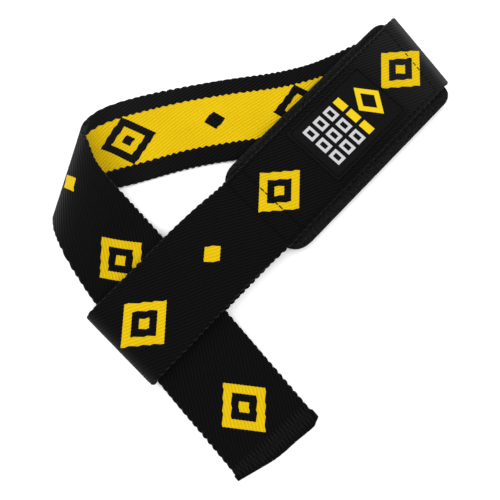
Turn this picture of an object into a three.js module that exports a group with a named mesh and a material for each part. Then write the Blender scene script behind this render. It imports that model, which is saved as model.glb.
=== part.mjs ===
import * as THREE from 'three';

// Driving sizes in millimetres
const STRAP_WIDTH = 38;
const STRAP_THICK = 1.8;
const LAYER_GAP = 0.35;
const TAB_LENGTH = 84;
const LABEL_LEG_LENGTH = 174;
const WRIST_LEG_LENGTH = 158.4;
const FREE_TAIL_LENGTH = 70.5;
const EYE_HEIGHT = 7.3;
const LOOP_HEIGHT = 14.5;
const WRIST_ARCH = 1.2;
const PAD_LENGTH = 102;
const PAD_END_CLEARANCE = 0.2;
const PAD_WIDTH = 46.5;
const PAD_THICK = 3;
const PAD_CORNER = 9;
const PAD_SOFT_EDGE = 0.9;
const LABEL_LENGTH = 44;
const LABEL_WIDTH = 29.5;
const LABEL_THICK = 0.8;
const LABEL_CORNER = 1.2;
const LABEL_SOFT_EDGE = 0.2;
const LABEL_FROM_EYE = 128;

// Headings on the floor in degrees, turned left from the x axis
const LABEL_LEG_HEADING = 46;
const WRIST_LEG_HEADING = 193.2;
const TAIL_HEADING = -49;
const FOLD_SLANT = 11.5;
const PAD_START_SLANT = 2;
const PAD_END_SLANT = 8;
const LOOP_LINE = -107.5;

// Mesh fineness
const CELLS_ACROSS = 4;
const LONGEST_CELL = 7;
const FOLD_STEPS = 8;
const CORNER_STEPS = 6;

// Heights of the middle of each layer
const FLOOR_LEVEL = STRAP_THICK / 2;
const PAD_LEVEL = STRAP_THICK + LAYER_GAP;
const LEG_LEVEL = PAD_LEVEL + PAD_THICK + LAYER_GAP + STRAP_THICK / 2;
const PASS_LEVEL = (FLOOR_LEVEL + EYE_HEIGHT) / 2;
const LABEL_LEVEL = LEG_LEVEL + STRAP_THICK / 2 + LAYER_GAP;

// The leg with the label, from the eye fold to the wrist fold
// at is a share of the leg, raise a share of the eye's extra height
const LABEL_LEG_ROWS = [
  { at: 0.1, raise: 1.15 },
  { at: 0.26, raise: 1 },
  { at: 0.34, raise: 0.4 },
  { at: 0.4, raise: 0 },
  { at: 0.6, raise: 0 },
  { at: 0.8, raise: 0 },
];

// The wrist leg, lying on the floor from the wrist fold to the loop
// at is a share of the leg, side a share of the strap width, slant in degrees
const WRIST_LEG_ROWS = [
  { at: 0.075, side: -0.085, slant: 17, arch: 0 },
  { at: 0.158, side: -0.176, slant: 12, arch: 0 },
  { at: 0.215, side: -0.229, slant: 7, arch: 0 },
  { at: 0.284, side: -0.275, slant: 3, arch: 0 },
  { at: 0.379, side: -0.29, slant: 0, arch: 0 },
  { at: 0.543, side: -0.242, slant: -2, arch: 0.5 },
  { at: 0.663, side: -0.224, slant: -6, arch: 1 },
];

// The loop where the strap turns over, seen from above along its own line
// out and down are shares of the strap width, rise a share of the loop height
const LOOP_ROWS = [
  { nearOut: -0.45, nearDown: -1.152, nearRise: 0.02, farOut: -0.776, farDown: -0.15, farRise: 0 },
  { nearOut: -0.188, nearDown: -0.945, nearRise: 0.12, farOut: -0.432, farDown: 0.071, farRise: 0.03 },
  { nearOut: -0.08, nearDown: -0.802, nearRise: 0.28, farOut: -0.284, farDown: 0.216, farRise: 0.14 },
  { nearOut: -0.036, nearDown: -0.662, nearRise: 0.46, farOut: -0.186, farDown: 0.36, farRise: 0.32 },
  { nearOut: -0.052, nearDown: -0.525, nearRise: 0.64, farOut: -0.124, farDown: 0.505, farRise: 0.55 },
  { nearOut: -0.13, nearDown: -0.42, nearRise: 0.84, farOut: -0.19, farDown: 0.637, farRise: 0.82 },
  { nearOut: -0.215, nearDown: -0.339, nearRise: 0.95, farOut: -0.3, farDown: 0.767, farRise: 0.98 },
  { nearOut: -0.363, nearDown: -0.171, nearRise: 0.93, farOut: -0.439, farDown: 0.908, farRise: 0.96 },
  { nearOut: -0.537, nearDown: -0.05, nearRise: 0.76, farOut: -0.616, farDown: 1.076, farRise: 0.74 },
  { nearOut: -0.797, nearDown: 0.095, nearRise: 0.48, farOut: -0.863, farDown: 1.279, farRise: 0.44 },
];

// The tail, from the loop through the eye to the free end
// near and far are places of its edges as shares of the free tail, counted from the middle of the eye
// raise is a share of the pass height
const TAIL_ROWS = [
  { near: -0.342, far: 0.052, raise: 1.02 },
  { near: -0.04, far: 0.24, raise: 1 },
  { near: 0.21, far: 0.38, raise: 1 },
  { near: 0.41, far: 0.49, raise: 0.86 },
  { near: 0.63, far: 0.645, raise: 0.3 },
  { near: 0.8, far: 0.8, raise: 0.04 },
  { near: 0.9, far: 0.9, raise: 0 },
  { near: 1.008, far: 0.99, raise: 0 },
];

// Side place of the loop against the wrist leg, as a share of the strap width
const LOOP_SIDE = -0.49;

/** Unit direction on the floor for a heading in degrees. */
function direction(heading) {
  const turn = THREE.MathUtils.degToRad(heading);
  return new THREE.Vector3(Math.cos(turn), Math.sin(turn), 0);
}

/** Point moved by given amounts along given directions. */
function moved(point, ...steps) {
  const result = point.clone();
  for (const [way, amount] of steps) {
    result.addScaledVector(way, amount);
  }
  return result;
}

/** Cross line of the strap, its near edge lying toward the given heading. */
function crossLine(centre, heading, length, arch = 0) {
  const way = direction(heading);
  return {
    near: moved(centre, [way, length / 2]),
    far: moved(centre, [way, -length / 2]),
    arch,
  };
}

/** Length of a cross line that runs askew over a strap of constant width. */
function askew(slant) {
  return STRAP_WIDTH / Math.cos(THREE.MathUtils.degToRad(slant));
}

/** Half round fold about a level line, rising or falling between two layers. */
function foldOver({ at, out, line, low, high, rises, slant }) {
  const radius = (high - low) / 2;
  const drift = radius * Math.tan(THREE.MathUtils.degToRad(slant));
  const sections = [];
  for (let step = 0; step <= FOLD_STEPS; step += 1) {
    const turn = (Math.PI * step) / FOLD_STEPS;
    const height = low + radius * (rises ? 1 - Math.cos(turn) : 1 + Math.cos(turn));
    const centre = moved(at, [direction(out), radius * Math.sin(turn)], [direction(line), drift * turn]);
    centre.z = height;
    sections.push(crossLine(centre, line, askew(slant)));
  }
  return sections;
}

const labelWay = direction(LABEL_LEG_HEADING);
const labelSide = direction(LABEL_LEG_HEADING + 90);
const wristWay = direction(WRIST_LEG_HEADING);
const wristSide = direction(WRIST_LEG_HEADING - 90);
const eyeAxis = new THREE.Vector3(0, 0, 0);
const wristAxis = moved(eyeAxis, [labelWay, LABEL_LEG_LENGTH]);
const loopPlace = moved(wristAxis, [wristWay, WRIST_LEG_LENGTH], [wristSide, LOOP_SIDE * STRAP_WIDTH]);

/** The short stitched end, lying on the floor under the label leg. */
function tabSections() {
  return [1, 0.75, 0.5, 0.25].map((share) => {
    const centre = moved(eyeAxis, [labelWay, share * TAB_LENGTH]);
    centre.z = FLOOR_LEVEL;
    return crossLine(centre, LABEL_LEG_HEADING + 90, STRAP_WIDTH);
  });
}

/** The leg over the pad, its cross lines turning slowly to the wrist fold's line. */
function labelLegSections() {
  return LABEL_LEG_ROWS.map(({ at, raise }) => {
    const centre = moved(eyeAxis, [labelWay, at * LABEL_LEG_LENGTH]);
    centre.z = LEG_LEVEL + raise * (EYE_HEIGHT - LEG_LEVEL);
    const slant = -FOLD_SLANT * at * at;
    return crossLine(centre, LABEL_LEG_HEADING + 90 + slant, askew(slant));
  });
}

/** The leg on the floor between the wrist fold and the loop. */
function wristLegSections() {
  return WRIST_LEG_ROWS.map(({ at, side, slant, arch }) => {
    const centre = moved(wristAxis, [wristWay, at * WRIST_LEG_LENGTH], [wristSide, side * STRAP_WIDTH]);
    centre.z = FLOOR_LEVEL;
    return crossLine(centre, WRIST_LEG_HEADING - 90 + slant, STRAP_WIDTH, arch * WRIST_ARCH);
  });
}

/** The loop that turns the strap over to its face. */
function loopSections() {
  const down = direction(LOOP_LINE);
  const out = direction(LOOP_LINE - 90);
  const edge = (outShare, downShare, rise) => {
    const point = moved(loopPlace, [out, outShare * STRAP_WIDTH], [down, downShare * STRAP_WIDTH]);
    point.z = FLOOR_LEVEL + rise * (LOOP_HEIGHT - FLOOR_LEVEL);
    return point;
  };
  return LOOP_ROWS.map((row, index) => ({
    near: edge(row.nearOut, row.nearDown, row.nearRise),
    far: edge(row.farOut, row.farDown, row.farRise),
    arch: index === 0 ? WRIST_ARCH / 2 : 0,
  }));
}

/** The tail through the eye to the free end, its one edge lying close in the eye fold. */
function tailSections() {
  const pass = moved(eyeAxis, [labelWay, STRAP_WIDTH / 2 + LAYER_GAP]);
  const onward = direction(TAIL_HEADING);
  const aside = direction(TAIL_HEADING + 90);
  return TAIL_ROWS.map(({ near, far, raise }) => {
    const edge = (share, side) => {
      const point = moved(pass, [onward, share * FREE_TAIL_LENGTH], [aside, (side * STRAP_WIDTH) / 2]);
      point.z = FLOOR_LEVEL + raise * (PASS_LEVEL - FLOOR_LEVEL);
      return point;
    };
    return { near: edge(near, 1), far: edge(far, -1), arch: 0 };
  });
}

/** All cross lines of the strap, from the stitched end to the free end. */
function strapSections() {
  return [
    ...tabSections(),
    ...foldOver({
      at: eyeAxis,
      out: LABEL_LEG_HEADING + 180,
      line: LABEL_LEG_HEADING + 90,
      low: FLOOR_LEVEL,
      high: EYE_HEIGHT,
      rises: true,
      slant: 0,
    }),
    ...labelLegSections(),
    ...foldOver({
      at: wristAxis,
      out: LABEL_LEG_HEADING - FOLD_SLANT,
      line: LABEL_LEG_HEADING - FOLD_SLANT + 90,
      low: FLOOR_LEVEL,
      high: LEG_LEVEL,
      rises: false,
      slant: FOLD_SLANT,
    }),
    ...wristLegSections(),
    ...loopSections(),
    ...tailSections(),
  ];
}

/** Smooth rows of points across the strap, from curves along both edges. */
function middleSurface(sections) {
  const near = new THREE.CatmullRomCurve3(sections.map((line) => line.near), false, 'centripetal');
  const far = new THREE.CatmullRomCurve3(sections.map((line) => line.far), false, 'centripetal');
  const last = sections.length - 1;
  const rows = [];
  const addRow = (index, share) => {
    const place = Math.min((index + share) / last, 1);
    const a = near.getPoint(place);
    const b = far.getPoint(place);
    const next = Math.min(index + 1, last);
    const arch = THREE.MathUtils.lerp(sections[index].arch, sections[next].arch, share);
    const row = [];
    for (let cell = 0; cell <= CELLS_ACROSS; cell += 1) {
      const across = cell / CELLS_ACROSS;
      const point = a.clone().lerp(b, across);
      point.z += arch * 4 * across * (1 - across);
      point.z = Math.max(point.z, FLOOR_LEVEL);
      row.push(point);
    }
    rows.push(row);
  };
  for (let index = 0; index < last; index += 1) {
    const length = Math.max(
      sections[index].near.distanceTo(sections[index + 1].near),
      sections[index].far.distanceTo(sections[index + 1].far),
    );
    const parts = Math.max(1, Math.round(length / LONGEST_CELL));
    for (let part = 0; part < parts; part += 1) {
      addRow(index, part / parts);
    }
  }
  addRow(last, 0);
  return rows;
}

/** Direction square to a grid of points at one of its corners. */
function squareTo(rows, i, j) {
  const along = rows[Math.min(i + 1, rows.length - 1)][j].clone().sub(rows[Math.max(i - 1, 0)][j]);
  const across = rows[i][0].clone().sub(rows[i][CELLS_ACROSS]);
  return along.cross(across).normalize();
}

/** Closed solid from quads given by point numbers. */
function solidFrom(points, quads) {
  const geometry = new THREE.BufferGeometry();
  geometry.setAttribute('position', new THREE.Float32BufferAttribute(points.flatMap((p) => p.toArray()), 3));
  geometry.setIndex(quads.flatMap(([a, b, c, d]) => (d === undefined ? [a, b, c] : [a, b, c, a, c, d])));
  geometry.computeVertexNormals();
  return geometry;
}

/** The strap as a closed sheet of even thickness. */
function webbingGeometry() {
  const rows = middleSurface(strapSections());
  const wide = CELLS_ACROSS + 1;
  const points = [];
  for (const side of [0.5, -0.5]) {
    rows.forEach((row, i) => row.forEach((point, j) => {
      points.push(moved(point, [squareTo(rows, i, j), side * STRAP_THICK]));
    }));
  }
  const back = rows.length * wide;
  const face = (i, j) => i * wide + j;
  const quads = [];
  for (let i = 0; i < rows.length - 1; i += 1) {
    for (let j = 0; j < CELLS_ACROSS; j += 1) {
      quads.push([face(i, j), face(i, j + 1), face(i + 1, j + 1), face(i + 1, j)]);
      quads.push([back + face(i, j), back + face(i + 1, j), back + face(i + 1, j + 1), back + face(i, j + 1)]);
    }
    quads.push([face(i, 0), face(i + 1, 0), back + face(i + 1, 0), back + face(i, 0)]);
    const j = CELLS_ACROSS;
    quads.push([face(i + 1, j), face(i, j), back + face(i, j), back + face(i + 1, j)]);
  }
  const end = rows.length - 1;
  for (let j = 0; j < CELLS_ACROSS; j += 1) {
    quads.push([face(0, j + 1), face(0, j), back + face(0, j), back + face(0, j + 1)]);
    quads.push([face(end, j), face(end, j + 1), back + face(end, j + 1), back + face(end, j)]);
  }
  return solidFrom(points, quads);
}

/** Rounded outline of a patch whose two ends may run askew. */
function patchOutline({ from, to, width, corner, startSlant, endSlant }) {
  const lean = (slant) => (width / 2) * Math.tan(THREE.MathUtils.degToRad(slant));
  const corners = [
    { x: from - lean(startSlant), y: -width / 2 },
    { x: to - lean(endSlant), y: -width / 2 },
    { x: to + lean(endSlant), y: width / 2 },
    { x: from + lean(startSlant), y: width / 2 },
  ].map(({ x, y }) => new THREE.Vector2(x, y));
  const outline = [];
  corners.forEach((place, index) => {
    const before = corners[(index + 3) % 4].clone().sub(place).normalize();
    const after = corners[(index + 1) % 4].clone().sub(place).normalize();
    const start = place.clone().addScaledVector(before, corner);
    const stop = place.clone().addScaledVector(after, corner);
    const arc = new THREE.QuadraticBezierCurve(start, place, stop);
    outline.push(...arc.getPoints(CORNER_STEPS));
  });
  return outline;
}

/** Flat padded patch with soft edges, lying along the label leg. */
function patchGeometry({ outline, bottom, thick, soft }) {
  const middle = outline.reduce((sum, p) => sum.add(p), new THREE.Vector2()).divideScalar(outline.length);
  const rings = [
    { inset: soft, height: 0 },
    { inset: 0, height: soft },
    { inset: 0, height: thick - soft },
    { inset: soft, height: thick },
  ];
  const place = (flat, height) => {
    const point = moved(eyeAxis, [labelWay, flat.x], [labelSide, flat.y]);
    point.z = bottom + height;
    return point;
  };
  const points = [];
  for (const { inset, height } of rings) {
    outline.forEach((flat) => {
      const inward = middle.clone().sub(flat).normalize();
      points.push(place(flat.clone().addScaledVector(inward, inset), height));
    });
  }
  const count = outline.length;
  const lower = points.push(place(middle, 0)) - 1;
  const upper = points.push(place(middle, thick)) - 1;
  const quads = [];
  for (let k = 0; k < count; k += 1) {
    const next = (k + 1) % count;
    for (let ring = 0; ring < rings.length - 1; ring += 1) {
      const low = ring * count;
      quads.push([low + k, low + next, low + count + next, low + count + k]);
    }
    const top = (rings.length - 1) * count;
    quads.push([lower, next, k]);
    quads.push([upper, top + k, top + next]);
  }
  return solidFrom(points, quads);
}

/** Mesh with its own matt cloth material. */
function clothPiece(name, geometry, colour, roughness) {
  const material = new THREE.MeshStandardMaterial({ color: colour, roughness, metalness: 0 });
  const mesh = new THREE.Mesh(geometry, material);
  mesh.name = name;
  return mesh;
}

const padTo = LABEL_LEG_LENGTH - PAD_END_CLEARANCE;
const pieces = [
  clothPiece('webbing', webbingGeometry(), 0x141414, 0.85),
  clothPiece('wrist_pad', patchGeometry({
    outline: patchOutline({
      from: padTo - PAD_LENGTH,
      to: padTo,
      width: PAD_WIDTH,
      corner: PAD_CORNER,
      startSlant: PAD_START_SLANT,
      endSlant: PAD_END_SLANT,
    }),
    bottom: PAD_LEVEL,
    thick: PAD_THICK,
    soft: PAD_SOFT_EDGE,
  }), 0x1a1a1b, 0.9),
  clothPiece('label', patchGeometry({
    outline: patchOutline({
      from: LABEL_FROM_EYE - LABEL_LENGTH / 2,
      to: LABEL_FROM_EYE + LABEL_LENGTH / 2,
      width: LABEL_WIDTH,
      corner: LABEL_CORNER,
      startSlant: 0,
      endSlant: 0,
    }),
    bottom: LABEL_LEVEL,
    thick: LABEL_THICK,
    soft: LABEL_SOFT_EDGE,
  }), 0x101011, 0.75),
];

const strap = new THREE.Group();
strap.name = 'lifting_strap';
const whole = new THREE.Box3();
for (const piece of pieces) {
  piece.geometry.computeBoundingBox();
  whole.union(piece.geometry.boundingBox);
  strap.add(piece);
}
const middle = whole.getCenter(new THREE.Vector3());
for (const piece of pieces) {
  piece.geometry.translate(-middle.x, -middle.y, -whole.min.z);
}

export default strap;
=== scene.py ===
"""Looks of a laid-out lifting strap: woven webbing, padded wrist part, sewn label, seams and studio."""

import logging
import math
from dataclasses import dataclass, field
from enum import Enum
from typing import NamedTuple, Sequence, Union

import bpy
import numpy as np
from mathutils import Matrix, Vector


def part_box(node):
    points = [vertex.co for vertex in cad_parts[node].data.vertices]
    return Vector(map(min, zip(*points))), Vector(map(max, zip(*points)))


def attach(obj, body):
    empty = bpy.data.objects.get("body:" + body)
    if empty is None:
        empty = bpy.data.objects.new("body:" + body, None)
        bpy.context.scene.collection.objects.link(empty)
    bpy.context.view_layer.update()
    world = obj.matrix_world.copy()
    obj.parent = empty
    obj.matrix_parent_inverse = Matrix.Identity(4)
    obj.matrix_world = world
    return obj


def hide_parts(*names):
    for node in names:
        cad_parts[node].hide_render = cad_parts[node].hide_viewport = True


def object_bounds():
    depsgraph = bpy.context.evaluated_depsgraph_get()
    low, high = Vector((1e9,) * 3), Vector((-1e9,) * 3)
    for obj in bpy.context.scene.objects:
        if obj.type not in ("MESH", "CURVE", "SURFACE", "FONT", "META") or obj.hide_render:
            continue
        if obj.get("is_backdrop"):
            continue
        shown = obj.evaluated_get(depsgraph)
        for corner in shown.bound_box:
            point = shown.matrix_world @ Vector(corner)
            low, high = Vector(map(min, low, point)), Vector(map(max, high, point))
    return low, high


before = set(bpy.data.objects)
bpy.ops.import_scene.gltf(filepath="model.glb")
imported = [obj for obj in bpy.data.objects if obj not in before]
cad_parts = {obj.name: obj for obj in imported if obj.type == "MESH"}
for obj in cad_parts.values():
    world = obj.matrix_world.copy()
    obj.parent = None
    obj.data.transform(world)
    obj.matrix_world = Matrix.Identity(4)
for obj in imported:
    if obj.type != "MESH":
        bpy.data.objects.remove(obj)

log = logging.getLogger("lifting_strap")
Colour = tuple[float, float, float]
Pair = tuple[float, float]
Place = tuple[float, float, float]
Corners = tuple[float, float, float, float]
Term = Union["Signal", float]
MM = 0.001
TURN = 2 * math.pi
CLOTH_SCALE = 100.0  # millimetres of cloth for each unit of its coordinates
CAMERA_AIM = (48.0, 38.8)  # point on the floor, in millimetres from the middle of the eye


class Face(Enum):
    """Side of the webbing, as woven."""

    FRONT = "front"
    BACK = "back"


class Turn(Enum):
    """Way in which a fold carries the strap between two layers."""

    UP = 1
    DOWN = -1


class Bend(Enum):
    """Bend of the strap beside which its cloth is lightened: a narrow band along a fold crest, or broad
    painted sheen.
    """

    EYE = "eye"
    WRIST = "wrist"
    LOOP = "loop"


class FoldBandAndSheenMark(NamedTuple):
    """Lightened place of the cloth, a fold-crest band or painted sheen: its bend, distance along from there,
    strength and spread.
    """

    bend: Bend
    shift: float
    strength: float
    spread: float


class Grain(NamedTuple):
    """Scale and detail of a noise."""

    scale: float
    detail: float


class Relief(NamedTuple):
    """Depth of a bump in metres, and its strength."""

    distance: float
    strength: float


# Cross lines of the sewn-down tab: share of its length, and side shift in millimetres.
TAB_ROWS = ((1.0, 0.8), (0.75, 0.8), (0.5, 0.8), (0.25, 0.5))

# Label leg: share of its length, height share, and side shift as a share of the width.
LABEL_LEG_ROWS = (
    (0.1, 1.15, 0.014),
    (0.26, 1.0, 0.026),
    (0.34, 0.4, 0.018),
    (0.4, 0.0, 0.0),
    (0.6, 0.0, 0.0),
    (0.8, 0.0, 0.0),
)

# Wrist leg: share of its length, side shift as a share of the width, slant, and share of the arch.
WRIST_LEG_ROWS = (
    (0.075, -0.085, 17, 0.0),
    (0.158, -0.176, 12, 0.0),
    (0.215, -0.229, 7, 0.0),
    (0.284, -0.275, 3, 0.0),
    (0.379, -0.29, 0, 0.0),
    (0.543, -0.242, -2, 0.5),
    (0.663, -0.224, -6, 1.0),
)

# Turned loop: the near edge's out, down and rise shares, then the far edge's.
LOOP_ROWS = (
    (-0.45, -1.152, 0.02, -0.776, -0.15, 0.0),
    (-0.188, -0.945, 0.12, -0.432, 0.071, 0.03),
    (-0.08, -0.802, 0.28, -0.284, 0.216, 0.14),
    (-0.036, -0.662, 0.46, -0.186, 0.36, 0.32),
    (-0.052, -0.525, 0.64, -0.124, 0.505, 0.55),
    (-0.13, -0.42, 0.84, -0.19, 0.637, 0.82),
    (-0.215, -0.339, 0.95, -0.3, 0.767, 0.98),
    (-0.363, -0.171, 0.93, -0.439, 0.908, 0.96),
    (-0.537, -0.05, 0.68, -0.616, 1.076, 0.67),
    (-0.797, 0.095, 0.34, -0.863, 1.279, 0.34),
)

# Tail: the near and the far edge as shares of the free tail, and the height share.
TAIL_ROWS = (
    (-0.342, 0.052, 1.02),
    (-0.04, 0.24, 1.0),
    (0.21, 0.38, 1.0),
    (0.41, 0.49, 0.86),
    (0.63, 0.645, 0.3),
    (0.8, 0.8, 0.04),
    (0.9, 0.9, 0.0),
    (1.008, 0.99, 0.0),
)

# Shape of the free end: share across the half width, and how far it stands out in millimetres.
END_EDGE = (
    (-1.0, -1.2),
    (-0.8, -0.46),
    (-0.28, 1.41),
    (0.02, 1.86),
    (0.31, 1.62),
    (0.56, 1.78),
    (0.83, 1.88),
    (1.0, 0.0),
)

# Lighter marks on the black cloth: narrow bands along the eye and wrist fold crests, and painted sheen, which
# is broad lighter stretches about the wrist fold and over the turned loop where grazing light brightens the
# cloth.
FOLD_BAND_AND_SHEEN_MARKS = (
    FoldBandAndSheenMark(Bend.EYE, 2.6, 0.2, 1.8),
    FoldBandAndSheenMark(Bend.WRIST, -2.8, 1.2, 2.2),
    FoldBandAndSheenMark(Bend.WRIST, 0.0, 0.22, 26.0),
    FoldBandAndSheenMark(Bend.LOOP, 0.0, 0.13, 32.0),
)


def heading(degrees: Union[float, np.ndarray]) -> np.ndarray:
    """Gives the unit direction on the floor for a heading: its cosine, its sine and zero."""
    turn = np.radians(np.asarray(degrees, float))
    return np.stack([np.cos(turn), np.sin(turn), np.zeros_like(turn)], axis=-1)


def smooth_step(low: float, high: float, value: np.ndarray) -> np.ndarray:
    """Eases from 0 at low to 1 at high: 3 t squared less 2 t cubed, t being the clamped share."""
    share = np.clip((value - low) / (high - low), 0.0, 1.0)
    return share * share * (3.0 - 2.0 * share)


def unit(vectors: np.ndarray) -> np.ndarray:
    """Scales each vector in the last axis to length one."""
    return vectors / np.maximum(np.linalg.norm(vectors, axis=-1, keepdims=True), 1e-12)


@dataclass(frozen=True)
class StrapSizes:
    """Real sizes in millimetres and headings in degrees, the same as in the part's source."""

    width: float = 38.0
    thick: float = 1.8
    gap: float = 0.35
    tab: float = 84.0
    label_leg: float = 174.0
    wrist_leg: float = 158.4
    free_tail: float = 70.5
    eye_height: float = 7.3
    loop_height: float = 14.5
    wrist_arch: float = 1.2
    pad_length: float = 102.0
    pad_end_clearance: float = 0.2
    pad_width: float = 46.5
    pad_thick: float = 3.0
    pad_corner: float = 9.0
    label_length: float = 44.0
    label_width: float = 29.5
    label_thick: float = 0.8
    label_corner: float = 1.2
    label_from_eye: float = 128.0
    label_heading: float = 46.0
    wrist_heading: float = 193.2
    tail_heading: float = -49.0
    fold_slant: float = 11.5
    pad_start_slant: float = 2.0
    pad_end_slant: float = 8.0
    loop_line: float = -107.5
    loop_side: float = -0.49
    tail_ease: float = 0.4

    @property
    def floor_level(self) -> float:
        """Height of the middle of cloth that lies on the floor."""
        return self.thick / 2

    @property
    def leg_level(self) -> float:
        """Height of the middle of the webbing over the pad."""
        return self.thick + self.gap + self.pad_thick + self.gap + self.thick / 2

    @property
    def pass_level(self) -> float:
        """Height of the middle of the tail inside the eye."""
        return (self.floor_level + self.eye_height) / 2

    @property
    def pad_span(self) -> Pair:
        """Distances from the eye at which the pad starts and stops."""
        stop = self.label_leg - self.pad_end_clearance
        return stop - self.pad_length, stop


@dataclass(frozen=True)
class Departures:
    """Small ways in which the shown strap departs from the part's solids, in millimetres and shares."""

    eye_reach: float = 1.02
    eye_aside: float = 0.4
    wrist_reach: float = 0.86
    pad_corners: Corners = (10.5, 6.0, 7.5, 10.0)
    pad_aside: float = -0.6
    label_rise: float = 0.1
    end_ease: float = 6.0


@dataclass
class CrossLines:
    """Cross lines of the strap in order, in millimetres: near edge, far edge and arch."""

    near: np.ndarray
    far: np.ndarray
    arch: np.ndarray

    @classmethod
    def about(cls, centre: np.ndarray, line: np.ndarray, length: np.ndarray,
              arch: np.ndarray) -> "CrossLines":
        """Places lines about their centres, half of their length to each side, by the near end's heading."""
        reach = heading(line) * (np.asarray(length, float) / 2)[:, None]
        return cls(centre + reach, centre - reach, np.asarray(arch, float))

    @classmethod
    def joined(cls, groups: Sequence["CrossLines"]) -> "CrossLines":
        """Strings groups of cross lines into one."""
        return cls(*(np.concatenate([getattr(g, name) for g in groups]) for name in ("near", "far", "arch")))

    def moved(self, shifts: np.ndarray) -> "CrossLines":
        """Moves each line by its own shift."""
        return CrossLines(self.near + shifts, self.far + shifts, self.arch)


class EdgeCurve:
    """Smooth curve through points, with spans timed by the square root of their chords."""

    def __init__(self, points: np.ndarray) -> None:
        """Works out each span's cubic from its own and its neighbours' points."""
        padded = np.concatenate([[2 * points[0] - points[1]], points, [2 * points[-1] - points[-2]]])
        spans = np.sqrt(np.linalg.norm(np.diff(padded, axis=0), axis=1))[:, None]
        a, b, c, d = padded[:-3], padded[1:-2], padded[2:-1], padded[3:]
        before, here, after = spans[:-2], spans[1:-1], spans[2:]
        here_slope = ((b - a) / before - (c - a) / (before + here) + (c - b) / here) * here
        next_slope = ((c - b) / here - (d - b) / (here + after) + (d - c) / after) * here
        self.parts = (b, here_slope, 3 * (c - b) - 2 * here_slope - next_slope,
                      2 * (b - c) + here_slope + next_slope)
        self.last = len(points) - 1

    def at(self, place: np.ndarray) -> np.ndarray:
        """Evaluates the curve at point numbers: cubic terms of the share within each span."""
        span = np.clip(place.astype(int), 0, self.last - 1)
        share = (place - span)[:, None]
        constant, slope, square, cube = (part[span] for part in self.parts)
        return constant + share * (slope + share * (square + share * cube))


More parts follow.
